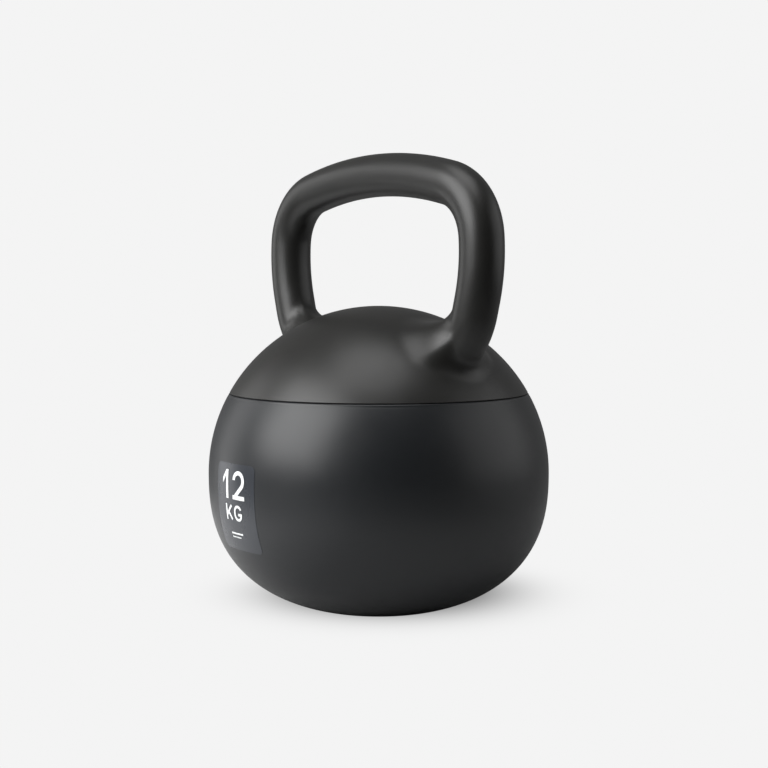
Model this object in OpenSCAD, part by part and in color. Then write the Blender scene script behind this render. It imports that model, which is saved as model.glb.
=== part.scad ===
// Soft-base kettlebell: a rigid dome and handle moulded over a bent steel bar,
// closed below by a soft round shell that holds a filling of iron sand.
// Millimetres. The origin is the centre of the base on the floor, +Z is up,
// the handle runs along X and the weight mark faces -Y.

/* [Ball] */
// Radius of the ball at its widest
ball_r = 112.5; // [112:0.1:113]
// Height of the widest circle above the floor
equator_z = 86.7; // [86.3:0.1:87.1]
// Height of the dome's top above the widest circle
dome_h = 109.9; // [109.4:0.1:110.4]
// Depth of the lower curve below the widest circle, before it is cut flat
bowl_h = 91.9; // [91.4:0.1:93]
// Squareness of the lower curve, where 2 is a plain ellipse
bowl_power = 2.46; // [2.4:0.01:2.55]
// Height of the seam between dome and soft shell
seam_z = 139.4; // [139:0.1:139.8]
// Wall of the rigid dome
dome_wall = 4; // [3.8:0.1:4.2]
// Wall of the soft shell
bowl_wall = 4.5; // [4:0.1:4.8]
// Thickness of the soft shell's floor
floor_wall = 6; // [5.6:0.1:6.2]
// Height of the sand's surface
sand_z = 121; // [100:1:121]

/* [Handle] */
// Diameter of the grip
grip_d = 28; // [26:0.5:30]
// Diameter of the steel bar inside it
core_d = 16; // [14:0.5:17]
// Height of the grip's centreline at the middle
grip_z = 282; // [281:0.5:283]
// Radius of the gentle bend across the top
top_bend_r = 286; // [270:1:300]
// Angle that it turns through on each side of the middle
top_sweep = 14; // [13.5:0.1:14.2]
// Radius of the upper corners
corner_r = 38; // [37:0.5:39]
// Angle that each corner turns through
corner_sweep = 71.4; // [71:0.1:72]
// Radius of the slow bend down each leg
leg_bend_r = 114; // [112:0.5:116]
// Angle of the leg's lower end from upright, feet together
leg_lean = 14.9; // [14.6:0.1:15.1]
// Radius of the last bend, which leads each leg into the dome
root_bend_r = 50; // [46:1:54]
// Angle of the leg from upright where it enters the dome
root_lean = 40; // [39:0.5:41]
// Radius of the foot that the leg widens to inside the dome
flare_r = 34; // [28:0.5:36]

/* [Fixings] */
// Radius of the steel plate that ties the feet of the handle
plate_r = 88.2; // [87.8:0.1:88.3]
// Thickness of that plate
plate_t = 4; // [3:0.5:4]
// Diameter of the threaded feet
stud_d = 8; // [6:1:8]
// Number of screws between plate and dome
screw_count = 6; // [2:2:8]
// Radius of the circle that the screws lie on
screw_circle_r = 75; // [73:1:76]

/* [Weight mark] */
// Width of the clear film
film_w = 43; // [38:1:46]
// Height of the clear film
film_h = 55; // [50:1:58]
// Sideways place of the mark's middle
mark_x = -5.5; // [-8:0.5:0]
// Height of the film's middle above the floor
film_z = 72.5; // [71:0.5:74]
// Height of the digits
digit_h = 18; // [16:0.5:19]
// Height of the unit's letters
unit_h = 10; // [8:0.5:11]

/* [Hidden] */
$fn = 96;
steps = 26;            // segments along each curved outline
gap = 0.3;             // room left between the sand and its shell

plate_top = 143;       // the dome's bosses and the bar's feet stand on it
plate_bottom = plate_top - plate_t;
boss_h = 30;           // tall enough to reach into the dome
foot_boss_h = 22;
root_run = 8;          // straight length between the leg's two lower bends
sleeve_len = 18;       // straight length of the sleeve inside the dome
foot_bend_r = 30;      // the bar turns upright on this radius
foot_boss_d = 25;
flare_from = 10;       // the flare starts this far down the straight leg
flare_h = 38;
flare_lean = 39.6;
step = 0.3;            // extra diameter where one round bar takes over from another
lap = 1;               // and how far the two run into each other
top_lap = 0.2;         // the same in degrees across the top and down the leg
leg_lap = 0.5;

washer_t = 1.5;
washer_d = 16;
nut_flats = 13;
nut_h = 6.5;
screw_d = 4;
screw_len = 16;
screw_head_d = 8;
screw_head_h = 2.5;
cross_w = 0.8;         // width, length and depth of the cross in a screw head
cross_l = 4.4;
cross_h = 1.4;
stud_end = 2;          // the stud stands out this far below its nut
cut = 1;               // how far a cutting shape runs past a face
screw_boss_d = 10;

spigot_inset = 5.4;    // the dome's spigot enters the shell's mouth, inside the seam
spigot_t = 3;
spigot_bottom = 124;
barb_top = 129.2;      // the barb catches the lock ring's lower edge
barb_h = 1.2;
barb_rise = 3.4;       // height of the barb's sloping face
barb_land = 0.6;
spigot_foot = 8;       // the spigot runs into the dome's wall over this height
ring_top = 137.2;
ring_t = 2.5;
lip_bottom = 124.5;    // soft lip below the lock ring
lip_root = 121.5;
rim_t = 1.6;           // thickness of the lip that hides the seal
seal_t = 1.2;
seam_gap = 0.15;
slack = 0.1;           // clearance round the ring and the seal

plug_r = 10.9;
plug_flange_r = 16.5;
plug_recess = 1.8;
plug_lift = 0.4;       // the plug stays this far off the floor
plug_barb_r = 12.8;
plug_barb_h = 3.3;
plug_tip_r = 9.4;

film_t = 0.25;         // height of the film's face above the shell
film_gap = 0.02;
film_corner = 3;
mark_turn = 22;        // the mark lies within this angle on each side of the front
digits_z = 78;         // feet of the digits, then of the unit's letters
unit_z = 64.5;
ink_t = 0.12;
digit_w = 2.6;         // stroke widths
unit_w = 1.6;

// ---- outline of the ball: its radius at height z, grown by the offset g ----

function curve(t, power) = pow(max(0, 1 - pow(abs(t), power)), 1 / power);
function ball_at(z, g = 0) = z > equator_z
    ? (ball_r + g) * curve((z - equator_z) / (dome_h + g), 2)
    : (ball_r + g) * curve((z - equator_z) / (bowl_h + g), bowl_power);
function outline(z0, z1, g = 0) = [for (i = [0:steps])
    let (z = z0 + (z1 - z0) * i / steps) [ball_at(z, g), z]];
// The dome is divided by angle, so that its crown is as fine as its rim
function rim_angle(g) = asin((seam_z - equator_z) / (dome_h + g));
function dome_outline(g = 0) = [for (i = [0:steps])
    let (a = rim_angle(g) + (90 - rim_angle(g)) * i / steps)
    [i == steps ? 0 : (ball_r + g) * cos(a), equator_z + (dome_h + g) * sin(a)]];
function reversed(points) = [for (i = [len(points) - 1:-1:0]) points[i]];

seam_r = ball_at(seam_z);
spigot_r = seam_r - spigot_inset;
ring_in = spigot_r + 0.4;
ring_out = ring_in + ring_t;
lip_in = spigot_r + 1.6;
rim_in = seam_r - rim_t;

// ---- centreline of the handle in the XZ plane ----
// Each bend starts where the last one ended. A heading is measured down from
// horizontal, so that 90 degrees points at the floor.

function along(heading) = [cos(heading), -sin(heading)];
function outward(heading) = [sin(heading), cos(heading)];
corner_to = top_sweep + corner_sweep;
leg_to = 90 + leg_lean;
root_to = 90 + root_lean;
top_c = [0, grip_z - top_bend_r];
corner_c = top_c + (top_bend_r - corner_r) * outward(top_sweep);
leg_c = corner_c + (corner_r - leg_bend_r) * outward(corner_to);
leg_end = leg_c + leg_bend_r * outward(leg_to);
root_c = leg_end + root_run * along(leg_to) - root_bend_r * outward(leg_to);
root_end = root_c + root_bend_r * outward(root_to);
foot_c = root_end + foot_bend_r * outward(root_to);
foot_x = foot_c[0] - foot_bend_r;
foot_z = foot_c[1];

module both_sides() {
    children();
    mirror([1, 0, 0]) children();
}

// A round section swept about c in the XZ plane, from one heading to another
module bend(c, r, from, to, d) {
    translate([c[0], 0, c[1]]) rotate([90, 0, 0]) rotate([0, 0, 90 - to])
        rotate_extrude(angle = to - from) translate([r, 0]) circle(d = d);
}

// A round bar that sets off from a point in the XZ plane
module straight(from, heading, d, h) {
    translate([from[0], 0, from[1]]) rotate([0, 90 + heading, 0]) cylinder(d = d, h = h);
}

// The handle's line as a round bar, ending in straight feet. Neighbouring stretches differ
// by a hair in thickness and run into each other, so that they join in clean circles.
module handle_bar(d, foot_len) {
    bend(top_c, top_bend_r, -top_sweep - top_lap, top_sweep + top_lap, d + step);
    both_sides() {
        bend(corner_c, corner_r, top_sweep, corner_to, d);
        bend(leg_c, leg_bend_r, corner_to - leg_lap, leg_to, d + step);
        straight(leg_end - lap * along(leg_to), leg_to, d + 2 * step, root_run + 2 * lap);
        bend(root_c, root_bend_r, leg_to, root_to, d + step);
        straight(root_end - lap * along(root_to), root_to, d + 2 * step, foot_len + lap);
    }
}

// The whole steel bar: inside the dome each foot turns upright and stands on the plate
module core_bar(d) {
    handle_bar(d, 0);
    both_sides() {
        translate([foot_c[0], 0, foot_z]) rotate([90, 0, 0]) rotate([0, 0, 180 - root_lean])
            rotate_extrude(angle = root_lean) translate([foot_bend_r, 0]) circle(d = d);
        translate([foot_x, 0, plate_top]) cylinder(d = d + step, h = foot_z - plate_top + lap / 2);
    }
}

module at_screws() {
    for (i = [0:screw_count - 1])
        rotate([0, 0, (i + 0.5) * 360 / screw_count]) translate([screw_circle_r, 0, 0]) children();
}

// ---- rigid upper half ----

module dome_solid(g) {
    rotate_extrude() polygon(concat([[0, seam_z]], dome_outline(g)));
}

// A cone that starts inside the leg and widens to a foot sunk in the dome
module flare() {
    top = leg_end + flare_from * along(leg_to);
    translate([top[0], 0, top[1]]) rotate([0, 180 + flare_lean, 0])
        cylinder(r1 = grip_d / 2 - 0.8, r2 = flare_r, h = flare_h);
}

module spigot() {
    rotate_extrude() polygon([
        [spigot_r - spigot_t, spigot_bottom], [spigot_r, spigot_bottom],
        [spigot_r, barb_top - barb_land - barb_rise], [spigot_r + barb_h, barb_top - barb_land],
        [spigot_r + barb_h, barb_top], [spigot_r, barb_top],
        [spigot_r, seam_z], [rim_in, seam_z],
        [rim_in - dome_wall / 3, seam_z + dome_wall / 2],
        [spigot_r - spigot_t, seam_z + spigot_foot]]);
}

module bosses() {
    intersection() {
        union() {
            at_screws() translate([0, 0, plate_top]) cylinder(d = screw_boss_d, h = boss_h);
            both_sides() translate([foot_x, 0, plate_top]) cylinder(d = foot_boss_d, h = foot_boss_h);
        }
        dome_solid(-1);
    }
}

module upper_shell() {
    color([0.055, 0.055, 0.052]) difference() {
        union() {
            rotate_extrude() polygon(concat(dome_outline(), reversed(dome_outline(-dome_wall))));
            spigot();
            bosses();
            handle_bar(grip_d, sleeve_len);
            both_sides() flare();
        }
        core_bar(core_d);
        at_screws() translate([0, 0, plate_top - cut])
            cylinder(d = screw_d, h = screw_len - plate_t + 2 * cut);
    }
}

module handle_core() {
    color([0.55, 0.56, 0.58]) {
        core_bar(core_d);
        both_sides() translate([foot_x, 0, plate_bottom - washer_t - nut_h - stud_end])
            cylinder(d = stud_d, h = plate_t + washer_t + nut_h + stud_end + lap);
    }
}

module anchor_plate() {
    color([0.42, 0.43, 0.45]) difference() {
        translate([0, 0, plate_bottom]) cylinder(r = plate_r, h = plate_t);
        both_sides() translate([foot_x, 0, plate_bottom - cut])
            cylinder(d = stud_d + 0.5, h = plate_t + 2 * cut);
        at_screws() translate([0, 0, plate_bottom - cut]) cylinder(d = screw_d + 0.6, h = plate_t + 2 * cut);
    }
}

module plate_screws() {
    color([0.7, 0.7, 0.68]) at_screws() {
        translate([0, 0, plate_bottom]) cylinder(d = screw_d, h = screw_len);
        translate([0, 0, plate_bottom - screw_head_h]) difference() {
            cylinder(d = screw_head_d, h = screw_head_h);
            for (turn = [0, 90]) rotate([0, 0, turn])
                translate([-cross_l / 2, -cross_w / 2, -cut]) cube([cross_l, cross_w, cross_h + cut]);
        }
    }
}

module core_washers() {
    color([0.66, 0.67, 0.68]) both_sides() translate([foot_x, 0, plate_bottom - washer_t]) difference() {
        cylinder(d = washer_d, h = washer_t);
        translate([0, 0, -cut]) cylinder(d = stud_d + 0.5, h = washer_t + 2 * cut);
    }
}

module core_nuts() {
    color([0.62, 0.63, 0.64]) both_sides()
        translate([foot_x, 0, plate_bottom - washer_t - nut_h]) difference() {
            cylinder(d = nut_flats / cos(30), h = nut_h, $fn = 6);
            translate([0, 0, -cut]) cylinder(d = stud_d + slack, h = nut_h + 2 * cut);
        }
}

// ---- soft lower half ----

module lower_shell() {
    inside = outline(floor_wall, lip_root, -bowl_wall);
    color([0.075, 0.08, 0.085]) difference() {
        rotate_extrude() polygon(concat(
            [[0, 0]], outline(0, seam_z - seam_gap),
            [[rim_in, seam_z - seam_gap], [rim_in, seam_z - seal_t - slack],
             [ring_in, seam_z - seal_t - slack], [ring_in, ring_top + slack],
             [ring_out + slack, ring_top + slack], [ring_out + slack, barb_top],
             [lip_in, barb_top], [lip_in, lip_bottom]],
            reversed(inside), [[0, floor_wall]]));
        translate([0, 0, -cut]) cylinder(r = plug_flange_r + gap, h = plug_recess + cut);
        translate([0, 0, -cut]) cylinder(r = plug_r + slack, h = floor_wall + 2 * cut);
    }
}

module lock_ring() {
    color([0.75, 0.73, 0.66]) rotate_extrude()
        translate([ring_in, barb_top + slack]) square([ring_t, ring_top - barb_top - slack]);
}

module seam_seal() {
    color([0.2, 0.2, 0.21]) rotate_extrude()
        translate([ring_in + slack, seam_z - seal_t])
            square([rim_in - ring_in - 2 * slack, seal_t - slack / 2]);
}

module sand_fill() {
    bottom = floor_wall + gap;
    color([0.21, 0.18, 0.16]) difference() {
        rotate_extrude() polygon(concat(
            [[0, bottom]], outline(bottom, sand_z, -bowl_wall - gap), [[0, sand_z]]));
        cylinder(r = plug_barb_r + 1, h = bottom + plug_barb_h + 1);
    }
}

module fill_plug() {
    color([0.12, 0.12, 0.125]) {
        translate([0, 0, plug_lift]) cylinder(r = plug_flange_r, h = plug_recess - plug_lift);
        translate([0, 0, plug_lift + lap]) cylinder(r = plug_r, h = floor_wall + gap - plug_lift - lap);
        translate([0, 0, floor_wall + slack]) cylinder(r1 = plug_barb_r, r2 = plug_tip_r, h = plug_barb_h);
    }
}

// ---- weight mark ----

module bar(from, to, w) {
    translate(from) rotate(atan2(to[1] - from[1], to[0] - from[0]))
        translate([0, -w / 2]) square([norm(to - from), w]);
}

// Part of a ring about the origin, r to the middle of its stroke
module ring_part(r, w, from, to) {
    turns = [for (i = [0:18]) from + (to - from) * i / 18];
    polygon(concat([for (a = turns) (r + w / 2) * [cos(a), sin(a)]],
                   [for (a = reversed(turns)) (r - w / 2) * [cos(a), sin(a)]]));
}

module digit_one(w, h, wide) {
    bar([wide - w / 2, 0], [wide - w / 2, h], w);
    polygon([[wide - w, h], [0, h - 2.1 * w], [0, h - 3.4 * w], [wide - w, h - 1.4 * w]]);
}

module digit_two(w, h, wide) {
    r = (wide - w) / 2;
    turn_to = -49;
    translate([wide / 2, h - w / 2 - r]) ring_part(r, w, turn_to, 176);
    bar([w * 0.7, w * 0.4], [wide / 2 + r * cos(turn_to), h - w / 2 - r + r * sin(turn_to)], w);
    square([wide, w]);
}

module letter_k(w, h, wide) {
    square([w, h]);
    bar([w * 0.6, h * 0.3], [wide - w * 0.6, h - w * 0.35], w);
    bar([wide * 0.4, h * 0.52], [wide - w * 0.5, w * 0.3], w);
}

module letter_g(w, h, wide) {
    r = (wide - w) / 2;
    translate([wide / 2, h - w / 2 - r]) ring_part(r, w, 25, 180);
    translate([wide / 2, w / 2 + r]) ring_part(r, w, 180, 360);
    bar([w / 2, w / 2 + r - 0.1], [w / 2, h - w / 2 - r + 0.1], w);
    bar([wide - w / 2, w / 2 + r - 0.1], [wide - w / 2, h * 0.5], w);
    bar([wide * 0.52, h * 0.5 - w / 2], [wide, h * 0.5 - w / 2], w);
}

module rounded(size, r) {
    translate([r, 0]) square([size[0] - 2 * r, size[1]]);
    translate([0, r]) square([size[0], size[1] - 2 * r]);
    for (x = [r, size[0] - r], y = [r, size[1] - r]) translate([x, y]) circle(r = r);
}

// Wraps a flat shape onto the front of the ball, between two heights above its surface
module on_front(low, high) {
    z0 = film_z - film_h / 2 - cut;
    z1 = film_z + film_h / 2 + cut;
    intersection() {
        rotate([0, 0, -90 - mark_turn]) rotate_extrude(angle = 2 * mark_turn)
            polygon(concat(outline(z0, z1, high), reversed(outline(z0, z1, low))));
        rotate([90, 0, 0]) translate([mark_x, 0, ball_r / 2]) linear_extrude(ball_r) children();
    }
}

module label_film() {
    color([0.14, 0.15, 0.165, 0.6]) on_front(film_gap, film_t)
        translate([-film_w / 2, film_z - film_h / 2]) rounded([film_w, film_h], film_corner);
}

module label_digits() {
    color([0.93, 0.94, 0.94]) on_front(film_t, film_t + ink_t) translate([0, digits_z]) {
        translate([-12.5, 0]) digit_one(digit_w, digit_h, 7);
        translate([-0.2, 0]) digit_two(digit_w, digit_h, 12.5);
    }
}

module label_unit() {
    color([0.93, 0.94, 0.94]) on_front(film_t, film_t + ink_t) translate([0, unit_z]) {
        translate([-9.3, 0]) letter_k(unit_w, unit_h, 8);
        translate([0.6, 0]) letter_g(unit_w, unit_h, 8.4);
    }
}

module label_marks() {
    color([0.85, 0.86, 0.87]) on_front(film_t, film_t + ink_t) {
        translate([-6, 55.6]) square([13, 1.1]);
        translate([-6, 53.4]) square([10, 0.7]);
    }
}

upper_shell();
handle_core();
anchor_plate();
plate_screws();
core_washers();
core_nuts();
lower_shell();
lock_ring();
seam_seal();
sand_fill();
fill_plug();
label_film();
label_digits();
label_unit();
label_marks();
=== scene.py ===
# Soft-base kettlebell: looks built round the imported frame, in metres.
import math

import bmesh
import bpy
import numpy as np
from mathutils import Matrix, Vector


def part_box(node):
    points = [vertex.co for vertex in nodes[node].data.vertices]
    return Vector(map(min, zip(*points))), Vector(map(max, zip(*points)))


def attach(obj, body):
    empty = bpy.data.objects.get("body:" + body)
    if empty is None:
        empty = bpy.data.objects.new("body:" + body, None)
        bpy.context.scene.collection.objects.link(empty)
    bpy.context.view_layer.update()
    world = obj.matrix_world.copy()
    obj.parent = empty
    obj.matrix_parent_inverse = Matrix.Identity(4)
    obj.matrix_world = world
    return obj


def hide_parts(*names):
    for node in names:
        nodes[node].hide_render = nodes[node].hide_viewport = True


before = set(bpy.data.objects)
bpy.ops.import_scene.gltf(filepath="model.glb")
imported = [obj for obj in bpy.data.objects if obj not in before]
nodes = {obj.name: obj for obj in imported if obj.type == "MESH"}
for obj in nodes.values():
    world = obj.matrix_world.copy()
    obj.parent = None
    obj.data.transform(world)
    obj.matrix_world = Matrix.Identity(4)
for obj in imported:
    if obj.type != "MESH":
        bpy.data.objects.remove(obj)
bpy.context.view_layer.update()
print("frame loaded:", len(nodes), "nodes")


# camera, first, so that everything else is judged through it
camera = {
    "azimuth": 50.5,     # degrees round from the front, towards +X
    "distance": 0.942,   # from the ball's axis, level
    "height": 0.210,
    "pitch": 3.96,       # degrees down
    "yaw": -0.21,        # the ball stands a little left of the middle
    "lens": 66.74,
}


def makeCamera(c):
    data = bpy.data.cameras.new("camera")
    data.lens = c["lens"]
    data.sensor_width = 36
    data.clip_start = 0.05
    obj = bpy.data.objects.new("camera", data)
    turn = math.radians(c["azimuth"])
    obj.location = (math.sin(turn) * c["distance"], -math.cos(turn) * c["distance"], c["height"])
    obj.rotation_euler = (math.radians(90 - c["pitch"]), 0, turn + math.radians(c["yaw"]))
    bpy.context.collection.objects.link(obj)
    bpy.context.scene.camera = obj


makeCamera(camera)


# the outlines that the outer pieces share
ball = {
    "radius": 0.1125,
    "equator": 0.0867,     # height of the widest circle
    "domeHeight": 0.1099,  # above the widest circle
    "bowlDepth": 0.0919,   # below it, before the base cuts it flat
    "bowlPower": 2.46,     # 2 would be a plain ellipse
    "seam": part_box("lower_shell")[1].z,
    "seamGap": 0.00015,
    "spigotInset": 0.0054,
}
handle = {
    "radius": 0.014,
    "height": 0.282,       # of the middle of the bar at the top
    # radius, turn in degrees and straight run after it, from the middle outwards
    "bends": [(0.286, 14, 0), (0.038, 71.4, 0), (0.114, 19.5, 0.008), (0.050, 25.1, 0.030)],
    "ringPoints": 64,
    "step": 0.003,         # between rings
}


def ballRadius(z, grow=0.0):
    up = z > ball["equator"]
    reach = (ball["domeHeight"] if up else ball["bowlDepth"]) + grow
    power = 2 if up else ball["bowlPower"]
    t = min(1.0, abs(z - ball["equator"]) / reach)
    return (ball["radius"] + grow) * (1 - t ** power) ** (1 / power)


def outward(heading):
    # a heading is measured down from level, so that 90 points at the floor
    return np.array((math.sin(heading), math.cos(heading)))


def along(heading):
    return np.array((math.cos(heading), -math.sin(heading)))


def handleLine():
    # the bar's line in the XZ plane: arcs with their headings, then the straight runs
    arcs, runs = [], []
    point, heading = np.array((0.0, handle["height"])), 0.0
    for radius, turn, straight in handle["bends"]:
        centre = point - radius * outward(heading)
        end = heading + math.radians(turn)
        arcs.append((centre, radius, heading, end))
        point, heading = centre + radius * outward(end), end
        if straight:
            runs.append((point, straight, heading))
            point = point + straight * along(heading)
    return arcs, runs


handleArcs, handleRuns = handleLine()


def vertsOf(geom):
    return [g for g in geom if isinstance(g, bmesh.types.BMVert)]


def edgesOf(geom):
    return [g for g in geom if isinstance(g, bmesh.types.BMEdge)]


def latheProfile(bm, points, steps):
    # turns a closed outline of (radius, height) points into a ring-shaped solid
    verts = [bm.verts.new((r, 0, z)) for r, z in points]
    edges = [bm.edges.new((verts[i - 1], verts[i])) for i in range(len(verts))]
    bmesh.ops.spin(bm, geom=verts + edges, cent=(0, 0, 0), axis=(0, 0, 1), angle=math.tau,
                   steps=steps, use_merge=True)
    bmesh.ops.remove_doubles(bm, verts=bm.verts, dist=1e-6)
    bmesh.ops.recalc_face_normals(bm, faces=bm.faces)


def makePiece(name, bm, material, standsFor, sharp=38):
    mesh = bpy.data.meshes.new(name)
    bm.to_mesh(mesh)
    bm.free()
    mesh.shade_smooth()
    mesh.set_sharp_from_angle(angle=math.radians(sharp))
    obj = bpy.data.objects.new(name, mesh)
    bpy.context.collection.objects.link(obj)
    mesh.materials.append(material)
    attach(obj, "root")
    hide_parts(*standsFor)
    return obj


def shaderOf(mat):
    return mat.node_tree.nodes["Principled BSDF"]


def newMaterial(name, color, roughness, metallic=0.0, specular=0.5):
    mat = bpy.data.materials.new(name)
    mat.use_nodes = True
    shader = shaderOf(mat)
    shader.inputs["Base Color"].default_value = (*color, 1)
    shader.inputs["Roughness"].default_value = roughness
    shader.inputs["Metallic"].default_value = metallic
    shader.inputs["Specular IOR Level"].default_value = specular
    return mat


def addNode(mat, kind, **values):
    # values go to the sockets of their names, and the rest to the node's own settings
    node = mat.node_tree.nodes.new(kind)
    for key, value in values.items():
        if key in node.inputs:
            node.inputs[key].default_value = value
        else:
            setattr(node, key, value)
    return node


def link(mat, a, b):
    mat.node_tree.links.new(a, b)


def place(mat, scale=(1, 1, 1), turn=(0, 0, 0)):
    # object coordinates, stretched or turned for a pattern
    coords = addNode(mat, "ShaderNodeTexCoord")
    mapping = addNode(mat, "ShaderNodeMapping", Scale=scale, Rotation=turn)
    link(mat, coords.outputs["Object"], mapping.inputs["Vector"])
    return mapping.outputs["Vector"]


def noise(mat, scale, detail=2.0, rough=0.5, vector=None):
    tex = addNode(mat, "ShaderNodeTexNoise", Scale=scale, Detail=detail, Roughness=rough)
    link(mat, vector or place(mat), tex.inputs["Vector"])
    return tex.outputs["Fac"]


def spread(mat, value, low, high, start=0.0, end=1.0, kind="LINEAR"):
    # turns a value between start and end into one between low and high
    node = addNode(mat, "ShaderNodeMapRange", interpolation_type=kind)
    for name, number in (("From Min", start), ("From Max", end), ("To Min", low), ("To Max", high)):
        node.inputs[name].default_value = number
    link(mat, value, node.inputs["Value"])
    return node.outputs["Result"]


def tint(mat, value, *stops):
    # a colour ramp on the base colour
    ramp = addNode(mat, "ShaderNodeValToRGB")
    elements = ramp.color_ramp.elements
    while len(elements) < len(stops):
        elements.new(0.5)
    for element, (position, color) in zip(elements, stops):
        element.position = position
        element.color = (*color, 1)
    link(mat, value, ramp.inputs["Fac"])
    link(mat, ramp.outputs["Color"], shaderOf(mat).inputs["Base Color"])


def vary(mat, value, low, high):
    link(mat, spread(mat, value, low, high), shaderOf(mat).inputs["Roughness"])


def bump(mat, height, distance, strength=1.0, under=None):
    node = addNode(mat, "ShaderNodeBump", Distance=distance, Strength=strength)
    link(mat, height, node.inputs["Height"])
    if under:
        link(mat, under, node.inputs["Normal"])
    link(mat, node.outputs["Normal"], shaderOf(mat).inputs["Normal"])
    return node.outputs["Normal"]


# dome and handle: one rigid moulding
upper = {
    "domeSegments": (160, 96),
    "voxel": 0.0016,
    "pulls": 8,            # rounds that draw the skin onto the true surface
    "settles": 4,          # and rounds that even it out, each with this many pulls
    "settlePulls": 3,
    "below": 0.004,        # the blank reaches this far under the seam before it is cut
    "edge": 0.0007,        # rounding of the dome's lower edge, in this many steps
    "edgeSteps": 4,
    "wall": 0.004,
    "wallFoot": 0.009,     # the inner wall starts this far above the seam
    "wallRings": 22,
    "webOutside": 0.009,   # reach of the web outside the leg
    "webBeside": 0.0182,   # beside it
    "webInside": 0.0305,   # and towards the crown
    "webPower": 2.3,
    "webTurn": (-0.92, 0.1),  # it widens between these sides, from outside to beside
    "crease": 0.36,        # how sharply the web meets the dome beside the leg
    "soften": 0.0012,      # rounding of the web's own borders
    # distances out from the spigot and up from the seam
    "spigot": [(0.0038, 0), (0, 0), (0, -0.0102), (0.0012, -0.0102), (0.0012, -0.0108),
               (0, -0.0142), (0, -0.0154), (-0.003, -0.0154), (-0.003, 0.008)],
}


def barDistance(p):
    # distance to the bar's surface, and which side of it a point is on:
    # 1 towards the middle of the kettlebell, 0 beside the bar, -1 outside
    x, y, z = np.abs(p[:, 0]), p[:, 1], p[:, 2]
    best = np.full(len(p), 9.0)
    side = np.zeros(len(p))
    for centre, radius, start, end in handleArcs:
        heading = np.clip(np.arctan2(x - centre[0], z - centre[1]), start, end)
        dx = x - centre[0] - radius * np.sin(heading)
        dz = z - centre[1] - radius * np.cos(heading)
        away = np.hypot(dx, dz)
        side = np.where(away < best, -(dx * np.sin(heading) + dz * np.cos(heading)), side)
        best = np.minimum(best, away)
    for start, length, heading in handleRuns:
        ahead, out = along(heading), outward(heading)
        run = np.clip((x - start[0]) * ahead[0] + (z - start[1]) * ahead[1], 0, length)
        dx, dz = x - start[0] - run * ahead[0], z - start[1] - run * ahead[1]
        away = np.hypot(dx, dz)
        side = np.where(away < best, -(dx * out[0] + dz * out[1]), side)
        best = np.minimum(best, away)
    total = np.hypot(best, y)
    return total - handle["radius"], side / np.maximum(total, 1e-6)


def domeDistance(p):
    size = np.array((ball["radius"], ball["radius"], ball["domeHeight"]))
    q = p - (0, 0, ball["equator"])
    scaled = np.linalg.norm(q / size, axis=1)
    slope = np.linalg.norm(q / size ** 2, axis=1)
    return scaled * (scaled - 1) / slope


def smoothMin(a, b, k):
    h = np.maximum(k - np.abs(a - b), 0) / k
    return np.minimum(a, b) - h * h * k / 4


def mouldingDistance(p):
    # the bar and the dome, joined by a web whose width follows the side of the leg
    bar, side = barDistance(p)
    dome = domeDistance(p)
    low, high = upper["webTurn"]
    step = np.clip((side - low) / (high - low), 0, 1)
    step = step * step * (3 - 2 * step)
    reach = (upper["webOutside"] + (upper["webBeside"] - upper["webOutside"]) * step
             + (upper["webInside"] - upper["webBeside"]) * np.maximum(side, 0) ** upper["webPower"])
    nearest = np.minimum(bar, dome)
    fillet = np.maximum(reach, nearest) - np.hypot(np.maximum(reach - bar, 0), np.maximum(reach - dome, 0))
    flat = smoothMin(nearest, (bar + dome - reach) * math.sqrt(0.5), upper["soften"] * 2)
    share = upper["crease"] * step * np.sqrt(np.maximum(1 - side ** 2, 0))
    return share * flat + (1 - share) * fillet


def pullOnto(p, distance, rounds):
    # moves points onto the surface where distance is nought
    reach = 2e-5
    for _ in range(rounds):
        here = distance(p)
        slope = np.empty_like(p)
        for axis in range(3):
            nudge = np.zeros(3)
            nudge[axis] = reach
            slope[:, axis] = (distance(p + nudge) - distance(p - nudge)) / (2 * reach)
        steepness = np.maximum((slope ** 2).sum(1), 0.05)  # never so flat that a point flies off
        p = p - slope * (here / steepness)[:, None]
    return p


def handleBlank(bm):
    # half of the bar swept from the middle to its foot, then mirrored
    lie = Matrix.Translation((0, 0, handle["height"])) @ Matrix.Rotation(math.pi / 2, 4, "Y")
    ring = bmesh.ops.create_circle(bm, segments=handle["ringPoints"], radius=handle["radius"], matrix=lie)
    verts = ring["verts"]
    edges = list({e for v in verts for e in v.link_edges})
    for centre, radius, start, end in handleArcs:
        steps = max(4, round(radius * (end - start) / handle["step"]))
        spun = bmesh.ops.spin(bm, geom=verts + edges, cent=(centre[0], 0, centre[1]), axis=(0, 1, 0),
                              angle=end - start, steps=steps)
        verts, edges = vertsOf(spun["geom_last"]), edgesOf(spun["geom_last"])
    grown = bmesh.ops.extrude_edge_only(bm, edges=edges)["geom"]
    start, length, heading = handleRuns[-1]
    move = along(heading) * length
    bmesh.ops.translate(bm, verts=vertsOf(grown), vec=(move[0], 0, move[1]))
    bmesh.ops.mirror(bm, geom=bm.verts[:] + bm.edges[:] + bm.faces[:], axis="X", merge_dist=1e-5)
    bmesh.ops.remove_doubles(bm, verts=bm.verts, dist=1e-6)
    bmesh.ops.holes_fill(bm, edges=[e for e in bm.edges if e.is_boundary], sides=0)


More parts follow.
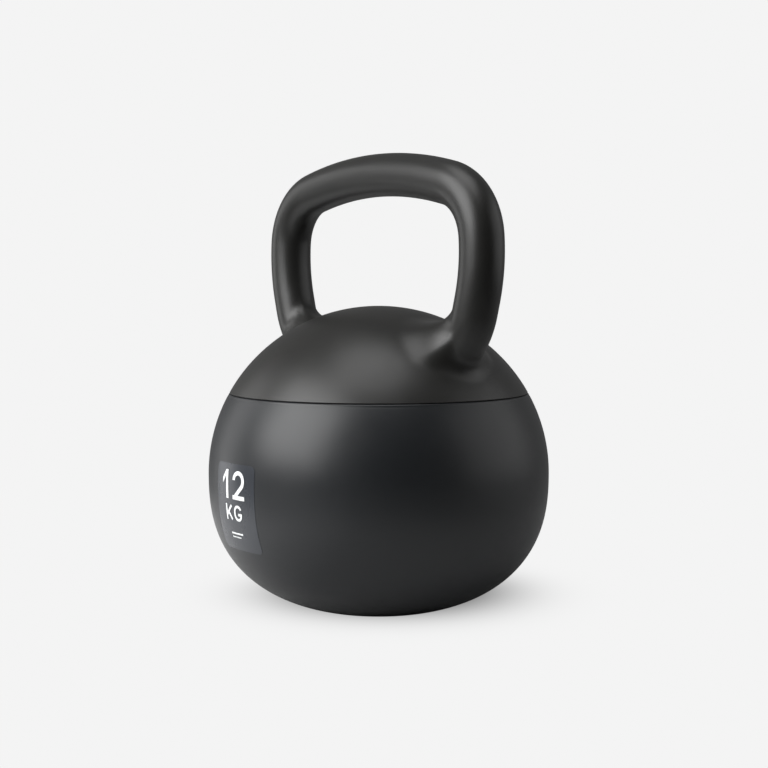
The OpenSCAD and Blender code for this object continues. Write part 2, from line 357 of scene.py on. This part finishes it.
def domeBlank(bm):
    size = Matrix.Diagonal((ball["radius"], ball["radius"], ball["domeHeight"], 1))
    centre = Matrix.Translation((0, 0, ball["equator"]))
    segments, rings = upper["domeSegments"]
    made = bmesh.ops.create_uvsphere(bm, u_segments=segments, v_segments=rings, radius=1,
                                     matrix=centre @ size)
    geom = set(made["verts"])
    for v in made["verts"]:
        geom.update(v.link_edges, v.link_faces)
    cut = bmesh.ops.bisect_plane(bm, geom=list(geom), plane_no=(0, 0, -1), clear_outer=True,
                                 plane_co=(0, 0, ball["seam"] - upper["below"]))
    bmesh.ops.holes_fill(bm, edges=edgesOf(cut["geom_cut"]), sides=0)


def voxelUnion(bm, size):
    # one even skin round everything in the mesh
    bmesh.ops.recalc_face_normals(bm, faces=bm.faces)
    mesh = bpy.data.meshes.new("blank")
    bm.to_mesh(mesh)
    bm.free()
    blank = bpy.data.objects.new("blank", mesh)
    bpy.context.collection.objects.link(blank)
    remesh = blank.modifiers.new("skin", "REMESH")
    remesh.mode = "VOXEL"
    remesh.voxel_size = size
    evaluated = blank.evaluated_get(bpy.context.evaluated_depsgraph_get())
    skinned = bpy.data.meshes.new_from_object(evaluated)
    bpy.data.objects.remove(blank)
    bpy.data.meshes.remove(mesh)
    out = bmesh.new()
    out.from_mesh(skinned)
    bpy.data.meshes.remove(skinned)
    return out


def settle(bm, rounds):
    # evens the mesh out along the surface, and back onto it
    for _ in range(rounds):
        bmesh.ops.smooth_vert(bm, verts=bm.verts, factor=0.5, use_axis_x=True, use_axis_y=True,
                              use_axis_z=True)
        points = np.array([v.co for v in bm.verts])
        for v, co in zip(bm.verts, pullOnto(points, mouldingDistance, upper["settlePulls"])):
            v.co = co


def dropRings(bm, edges, rings):
    # carries a round edge loop through a list of (radius, height) rings
    for radius, height in rings:
        grown = bmesh.ops.extrude_edge_only(bm, edges=edges)["geom"]
        edges = edgesOf(grown)
        for v in vertsOf(grown):
            flat = v.co.to_2d().normalized() * radius
            v.co = (flat.x, flat.y, height)
    return edges


def makeUpper():
    bm = bmesh.new()
    handleBlank(bm)
    domeBlank(bm)
    bm = voxelUnion(bm, upper["voxel"])
    points = np.array([v.co for v in bm.verts])
    for v, co in zip(bm.verts, pullOnto(points, mouldingDistance, upper["pulls"])):
        v.co = co
    settle(bm, upper["settles"])
    seam = ball["seam"] + ball["seamGap"]
    edge = upper["edge"]
    cut = bmesh.ops.bisect_plane(bm, geom=bm.verts[:] + bm.edges[:] + bm.faces[:], dist=1e-6,
                                 plane_co=(0, 0, seam + edge), plane_no=(0, 0, -1), clear_outer=True)
    rim = [e for e in edgesOf(cut["geom_cut"]) if e.is_boundary]
    outer = ballRadius(seam + edge)
    rings = []
    for i in range(1, upper["edgeSteps"] + 1):
        a = math.pi / 2 * i / upper["edgeSteps"]
        rings.append((outer - edge * (1 - math.cos(a)), seam + edge * (1 - math.sin(a))))
    spigot = ballRadius(seam) - ball["spigotInset"]
    rings += [(spigot + out, seam + up) for out, up in upper["spigot"]]
    inside, height = ball["radius"] - upper["wall"], ball["domeHeight"] - upper["wall"]
    low = math.asin((seam + upper["wallFoot"] - ball["equator"]) / height)
    for i in range(upper["wallRings"]):
        a = low + (math.pi / 2 - low) * i / upper["wallRings"]
        rings.append((inside * math.cos(a), ball["equator"] + height * math.sin(a)))
    last = dropRings(bm, rim, rings)
    bmesh.ops.holes_fill(bm, edges=last, sides=0)
    bmesh.ops.recalc_face_normals(bm, faces=bm.faces)
    return makePiece("domeAndHandle", bm, domePlastic(), ["upper_shell"])


def domePlastic():
    # warm black satin moulding with a very fine grain
    mat = newMaterial("dome plastic", (0.0135, 0.0135, 0.0125), 0.38)
    cloud = noise(mat, 26, 3)
    tint(mat, cloud, (0.3, (0.0122, 0.0122, 0.0115)), (0.7, (0.0148, 0.0146, 0.0134)))
    vary(mat, noise(mat, 60, 4, 0.6), 0.34, 0.42)
    wave = bump(mat, noise(mat, 38, 1), 0.00012)
    bump(mat, noise(mat, 2600, 2, 0.6), 0.00003, under=wave)
    return mat


domeAndHandle = makeUpper()
print("dome and handle:", len(domeAndHandle.data.polygons), "faces")


# soft lower shell
lower = {
    "steps": 288,
    "rows": 72,
    "lipProud": 0.0004,    # the lip stands out past the dome
    "lipRound": 0.0011,
    "lipSteps": 6,
    "wall": 0.0045,
    "floor": 0.006,
    # distances out from the spigot and down from the seam, for the seal, the ring and the lip
    "mouth": [(0.0038, 0), (0.0038, 0.0012), (0.0004, 0.0012), (0.0004, 0.0020), (0.0030, 0.0020),
              (0.0030, 0.0100), (0.0016, 0.0100), (0.0016, 0.0148)],
    "lipRoot": 0.1215,     # height of the inner wall's top, in this many rows to the floor
    "wallRows": 40,
    "plugRecess": (0.0168, 0.0018),
    "plugHole": 0.011,
}


def makeLower():
    seam, lip, wall = ball["seam"], lower["lipRound"], lower["wall"]
    recess, depth = lower["plugRecess"]
    points = [(lower["plugHole"], lower["floor"]), (lower["plugHole"], depth), (recess, depth),
              (recess, 0)]
    # the outer curve, in rows by angle so that the base is as fine as the side
    top = seam - 2 * lip
    for i in range(lower["rows"] + 1):
        z = top * (1 - math.cos(math.pi * i / lower["rows"])) / 2
        points.append((ballRadius(z), z))
    edge = ballRadius(seam) + lower["lipProud"]
    for i in range(lower["lipSteps"] + 1):
        a = math.pi / 2 * i / lower["lipSteps"]
        points.append((edge - lip + lip * math.cos(a), seam - lip + lip * math.sin(a)))
    spigot = ballRadius(seam + ball["seamGap"]) - ball["spigotInset"]
    points += [(spigot + out, seam - down) for out, down in lower["mouth"]]
    for i in range(lower["wallRows"] + 1):
        z = lower["lipRoot"] + (lower["floor"] - lower["lipRoot"]) * i / lower["wallRows"]
        points.append((ballRadius(z, -wall), z))
    bm = bmesh.new()
    latheProfile(bm, points, lower["steps"])
    return makePiece("softShell", bm, softVinyl(), ["lower_shell"])


def softVinyl():
    # cooler and smoother than the dome, faintly uneven as dipped vinyl is
    mat = newMaterial("soft vinyl", (0.0125, 0.0140, 0.0160), 0.38)
    cloud = noise(mat, 18, 3)
    tint(mat, cloud, (0.3, (0.0114, 0.0129, 0.0150)), (0.7, (0.0136, 0.0150, 0.0169)))
    vary(mat, noise(mat, 45, 4, 0.6), 0.35, 0.42)
    wave = bump(mat, noise(mat, 24, 1), 0.00018)
    bump(mat, noise(mat, 3200, 2, 0.6), 0.00002, under=wave)
    return mat


softShell = makeLower()
print("soft shell:", len(softShell.data.polygons), "faces")


# clear film under the weight mark
film = {
    "corner": 0.004,       # rounding of its corners, in this many steps
    "cornerSteps": 8,
    "gap": 0.00003,        # between the film and the vinyl
    "thick": 0.0001,
    "grid": 0.0018,        # size of its faces
}


def wrapOnBowl(bm, lift):
    # a flat shape in the XZ plane is laid on the front of the bowl
    for v in bm.verts:
        r = ballRadius(v.co.z, lift)
        v.co.y = -math.sqrt(r * r - v.co.x ** 2)


def makeFilm():
    low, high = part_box("label_film")
    size, middle = high - low, (low + high) / 2
    bm = bmesh.new()
    flat = (Matrix.Translation((middle.x, 0, middle.z)) @ Matrix.Rotation(math.pi / 2, 4, "X")
            @ Matrix.Diagonal((size.x / 2, size.z / 2, 1, 1)))
    bmesh.ops.create_grid(bm, x_segments=1, y_segments=1, size=1, matrix=flat)
    bmesh.ops.bevel(bm, geom=bm.verts[:], offset=film["corner"], segments=film["cornerSteps"],
                    profile=0.5, affect="VERTICES", material=-1)
    for axis, start, span in ((0, low.x, size.x), (2, low.z, size.z)):
        count = round(span / film["grid"])
        for i in range(1, count):
            co, no = [0, 0, 0], [0, 0, 0]
            co[axis], no[axis] = start + span * i / count, 1
            bmesh.ops.bisect_plane(bm, geom=bm.verts[:] + bm.edges[:] + bm.faces[:], plane_co=co,
                                   plane_no=no)
    wrapOnBowl(bm, film["gap"] + film["thick"])
    bm.normal_update()
    if sum(f.normal.y for f in bm.faces) > 0:  # it should face the front
        bmesh.ops.reverse_faces(bm, faces=bm.faces[:])
    bmesh.ops.solidify(bm, geom=bm.faces[:], thickness=film["thick"])
    return makePiece("labelFilm", bm, clearFilm(), ["label_film"])


def clearFilm():
    # a paler, smoother face than the vinyl under it
    mat = newMaterial("clear film", (0.033, 0.037, 0.045), 0.28)
    vary(mat, noise(mat, 70, 3), 0.25, 0.31)
    bump(mat, noise(mat, 90, 2), 0.00002)
    return mat


labelFilm = makeFilm()
print("label film:", len(labelFilm.data.polygons), "faces")


# fill plug in the base
plug = {
    "flange": 0.0165,
    "low": 0.0004,
    "high": 0.0018,
    "edge": 0.0004,        # rounding of the flange, in this many steps
    "edgeSteps": 4,
    "shaft": 0.0109,
    "barb": 0.0128,
    "barbLow": 0.0061,
    "tip": (0.0094, 0.0094),    # radius and height of the barb's end
    "hollow": (0.006, 0.0034),  # radius and floor of the hollow in the shaft
    "vent": (0.0002, 0.0030),   # a pinhole on the axis, and its top
    "grip": (0.0072, 0.0078, 0.0012),  # inner radius, outer radius and depth of the dish underneath
    "steps": 96,
}


def makePlug():
    low, high, flange, edge = plug["low"], plug["high"], plug["flange"], plug["edge"]
    shaft, barbLow = plug["shaft"], plug["barbLow"]
    hollow, hollowFloor = plug["hollow"]
    inner, outer, depth = plug["grip"]
    points = []
    for i in range(plug["edgeSteps"] + 1):
        a = math.pi / 2 * i / plug["edgeSteps"]
        points.append((flange - edge + edge * math.sin(a), low + edge - edge * math.cos(a)))
    points += [(flange, high), (shaft, high), (shaft, barbLow), (plug["barb"], barbLow), plug["tip"],
               (hollow, plug["tip"][1]), (hollow, hollowFloor), plug["vent"],
               (plug["vent"][0], low + depth), (inner, low + depth), (outer, low)]
    bm = bmesh.new()
    latheProfile(bm, points, plug["steps"])
    return makePiece("fillPlug", bm, plugRubber(), ["fill_plug"], sharp=30)


def plugRubber():
    mat = newMaterial("plug rubber", (0.022, 0.022, 0.023), 0.62, specular=0.4)
    vary(mat, noise(mat, 90, 3), 0.56, 0.70)
    bump(mat, noise(mat, 1800, 3, 0.6), 0.00005)
    return mat


fillPlug = makePlug()
print("fill plug:", len(fillPlug.data.polygons), "faces")


# finishes of the pieces that stay as they are
def paint(names, mat):
    for name in names:
        for slot in nodes[name].material_slots:
            slot.material = mat
    print("painted:", ", ".join(names))


def barSteel():
    # drawn bar, with marks along its length
    mat = newMaterial("bar steel", (0.50, 0.50, 0.51), 0.34, metallic=1)
    drawn = noise(mat, 900, 4, 0.6, place(mat, (0.05, 1, 1)))
    vary(mat, drawn, 0.26, 0.42)
    bump(mat, drawn, 0.00003)
    return mat


def plateSteel():
    # rolled plate with mill scale
    mat = newMaterial("plate steel", (0.30, 0.30, 0.31), 0.45, metallic=1)
    tint(mat, noise(mat, 40, 5, 0.65), (0.35, (0.20, 0.20, 0.215)), (0.65, (0.36, 0.355, 0.35)))
    vary(mat, noise(mat, 120, 4), 0.36, 0.58)
    bump(mat, noise(mat, 700, 3), 0.00003)
    return mat


def zincSteel():
    # bright zinc with a faint yellow and blue cast
    mat = newMaterial("zinc steel", (0.72, 0.72, 0.70), 0.28, metallic=1)
    tint(mat, noise(mat, 160, 3), (0.4, (0.68, 0.70, 0.74)), (0.6, (0.76, 0.73, 0.64)))
    vary(mat, noise(mat, 300, 3), 0.22, 0.36)
    return mat


def ringNylon():
    mat = newMaterial("ring nylon", (0.68, 0.65, 0.56), 0.42)
    tint(mat, noise(mat, 30, 2), (0.4, (0.64, 0.61, 0.52)), (0.6, (0.72, 0.69, 0.61)))
    vary(mat, noise(mat, 200, 2), 0.36, 0.48)
    return mat


def sealRubber():
    mat = newMaterial("seal rubber", (0.035, 0.035, 0.037), 0.75, specular=0.35)
    vary(mat, noise(mat, 250, 3), 0.68, 0.82)
    bump(mat, noise(mat, 2200, 2), 0.00004)
    return mat


def ironSand():
    # dark grains, a few of them bright
    mat = newMaterial("iron sand", (0.09, 0.08, 0.075), 0.6, metallic=0.5)
    grain = addNode(mat, "ShaderNodeTexVoronoi", Scale=1400.0)
    link(mat, place(mat), grain.inputs["Vector"])
    tint(mat, grain.outputs["Color"], (0.15, (0.035, 0.030, 0.028)), (0.6, (0.10, 0.085, 0.075)),
         (0.95, (0.30, 0.27, 0.25)))
    vary(mat, grain.outputs["Distance"], 0.40, 0.75)
    bump(mat, grain.outputs["Distance"], 0.0004)
    return mat


def whitePrint():
    # screen-printed ink
    mat = newMaterial("white print", (0.86, 0.88, 0.88), 0.40)
    tint(mat, noise(mat, 400, 3), (0.3, (0.82, 0.845, 0.85)), (0.7, (0.89, 0.905, 0.905)))
    vary(mat, noise(mat, 900, 3), 0.34, 0.46)
    return mat


paint(["handle_core"], barSteel())
paint(["anchor_plate"], plateSteel())
paint(["plate_screws", "core_washers", "core_nuts"], zincSteel())
paint(["lock_ring"], ringNylon())
paint(["seam_seal"], sealRubber())
paint(["sand_fill"], ironSand())
paint(["label_digits", "label_unit", "label_marks"], whitePrint())


# floor, lights and world
studio = {
    "white": 0.904,          # the backdrop and the open floor, as the camera sees them
    "bounceRight": 0.46,     # the floor's painted light as the object sees it, to the right
    "bounceLeft": 1.0,       # and to the left, and how far left it changes
    "bounceFrom": 0.05,
    "bounceTo": 0.20,
    "shadeSize": 0.083,      # the ball's soft shadow painted on the floor, and how fast it clears
    "shadePower": 3.1,
    "shadeRight": 0.008,     # it lies a little to the right of the ball and behind it
    "shadeBack": 0.030,
    "floorRadius": 0.9,
    "underBase": 0.049,      # open under the base, so that a view from below shows it
    "fadeFrom": 0.22,        # where the floor starts to fade, and where it is gone
    "fadeTo": 0.62,
    "ambientBright": 0.24,   # the studio's own light behind the object, and on the camera's side
    "ambientDark": 0.0,
    "ambientTurn": (-0.3, 0.5),  # it changes between these shares of facing the camera
    "aim": 0.14,             # height that the lights point at
    # bearing round from the camera in degrees, elevation, distance, width, height, power
    "lights": {
        "key": (-62, 30, 1.5, 1.3, 1.3, 31),
        "top": (-20, 78, 1.3, 0.9, 0.9, 7),
        "leftRim": (-118, 8, 1.5, 0.6, 1.4, 4),
        "rightFill": (86, 18, 1.4, 1.5, 1.2, 4.6),
    },
}


def viewDirection(bearing, elevation):
    # 0 is towards the camera, negative to its left
    turn = math.radians(camera["azimuth"] + bearing)
    tilt = math.radians(elevation)
    return Vector((math.sin(turn) * math.cos(tilt), -math.cos(turn) * math.cos(tilt), math.sin(tilt)))


def makeLight(name, bearing, elevation, distance, width, height, power):
    data = bpy.data.lights.new(name, "AREA")
    data.shape = "RECTANGLE"
    data.size = width
    data.size_y = height
    data.energy = power
    obj = bpy.data.objects.new(name, data)
    towards = viewDirection(bearing, elevation)
    obj.location = Vector((0, 0, studio["aim"])) + towards * distance
    obj.rotation_euler = towards.to_track_quat("Z", "Y").to_euler()
    obj.visible_camera = False
    bpy.context.collection.objects.link(obj)


def figure(mat, operation, a, b=0.0):
    # one sum on sockets or plain numbers
    node = addNode(mat, "ShaderNodeMath", operation=operation)
    for socket, value in zip(node.inputs, (a, b)):
        if isinstance(value, (int, float)):
            socket.default_value = value
        else:
            link(mat, value, socket)
    return node.outputs[0]


def mixShaders(mat, share, first, second):
    mix = addNode(mat, "ShaderNodeMixShader")
    link(mat, share, mix.inputs["Fac"])
    link(mat, first.outputs[0], mix.inputs[1])
    link(mat, second.outputs[0], mix.inputs[2])
    return mix


def makeFloor():
    bm = bmesh.new()
    bmesh.ops.create_circle(bm, cap_ends=True, segments=128, radius=studio["floorRadius"])
    mesh = bpy.data.meshes.new("floor")
    bm.to_mesh(mesh)
    bm.free()
    obj = bpy.data.objects.new("floor", mesh)
    bpy.context.collection.objects.link(obj)
    mat = bpy.data.materials.new("pale floor")
    mat.use_nodes = True
    mat.node_tree.nodes.remove(shaderOf(mat))
    coords = addNode(mat, "ShaderNodeTexCoord").outputs["Object"]
    # the camera sees an even white with a painted shadow, darkest under the ball
    away = addNode(mat, "ShaderNodeVectorMath", operation="DISTANCE")
    away.inputs[1].default_value = (viewDirection(90, 0) * studio["shadeRight"]
                                    + viewDirection(180, 0) * studio["shadeBack"])
    link(mat, coords, away.inputs[0])
    cleared = figure(mat, "DIVIDE", away.outputs["Value"], studio["shadeSize"])
    cleared = figure(mat, "MULTIPLY", figure(mat, "POWER", cleared, studio["shadePower"]), -1)
    paintedShadow = figure(mat, "EXPONENT", cleared)
    seen = addNode(mat, "ShaderNodeEmission", Color=(1, 1, 1, 1))
    link(mat, spread(mat, paintedShadow, studio["white"], 0), seen.inputs["Strength"])
    # the object sees plain paint with painted light, paler on the key light's side
    left = addNode(mat, "ShaderNodeVectorMath", operation="DOT_PRODUCT")
    left.inputs[1].default_value = viewDirection(-90, 0)
    link(mat, coords, left.inputs[0])
    paintedKeyLight = spread(mat, left.outputs["Value"], studio["bounceRight"], studio["bounceLeft"],
                   studio["bounceFrom"], studio["bounceTo"])
    plain = addNode(mat, "ShaderNodeBsdfDiffuse")
    link(mat, paintedKeyLight, plain.inputs["Color"])
    path = addNode(mat, "ShaderNodeLightPath")
    either = mixShaders(mat, path.outputs["Is Camera Ray"], plain, seen)
    # fades into the backdrop with distance, and is clear from below and under the base
    far = addNode(mat, "ShaderNodeVectorMath", operation="LENGTH")
    link(mat, coords, far.inputs[0])
    distance = far.outputs["Value"]
    fade = spread(mat, distance, 0, 1, studio["fadeFrom"], studio["fadeTo"], "SMOOTHSTEP")
    gone = figure(mat, "MAXIMUM", fade, addNode(mat, "ShaderNodeNewGeometry").outputs["Backfacing"])
    gone = figure(mat, "MAXIMUM", gone, figure(mat, "LESS_THAN", distance, studio["underBase"]))
    mix = mixShaders(mat, gone, either, addNode(mat, "ShaderNodeBsdfTransparent"))
    link(mat, mix.outputs[0], mat.node_tree.nodes["Material Output"].inputs["Surface"])
    mesh.materials.append(mat)


def makeWorld():
    # the camera sees an even white; the object sees a studio that is bright behind it
    world = bpy.data.worlds.new("studio")
    world.use_nodes = True
    bpy.context.scene.world = world
    seen = world.node_tree.nodes["Background"]
    seen.inputs["Color"].default_value = (*[studio["white"]] * 3, 1)
    lit = addNode(world, "ShaderNodeBackground")
    facing = addNode(world, "ShaderNodeVectorMath", operation="DOT_PRODUCT")
    facing.inputs[1].default_value = viewDirection(0, -10)
    link(world, addNode(world, "ShaderNodeTexCoord").outputs["Generated"], facing.inputs[0])
    shade = spread(world, facing.outputs["Value"], studio["ambientBright"], studio["ambientDark"],
                   *studio["ambientTurn"])
    link(world, shade, lit.inputs["Strength"])
    path = addNode(world, "ShaderNodeLightPath")
    mix = mixShaders(world, path.outputs["Is Camera Ray"], lit, seen)
    link(world, mix.outputs[0], world.node_tree.nodes["World Output"].inputs["Surface"])


makeFloor()
makeWorld()
for name, values in studio["lights"].items():
    makeLight(name, *values)
bpy.context.scene.view_settings.view_transform = "Standard"
bpy.context.scene.view_settings.look = "None"
print("studio set")
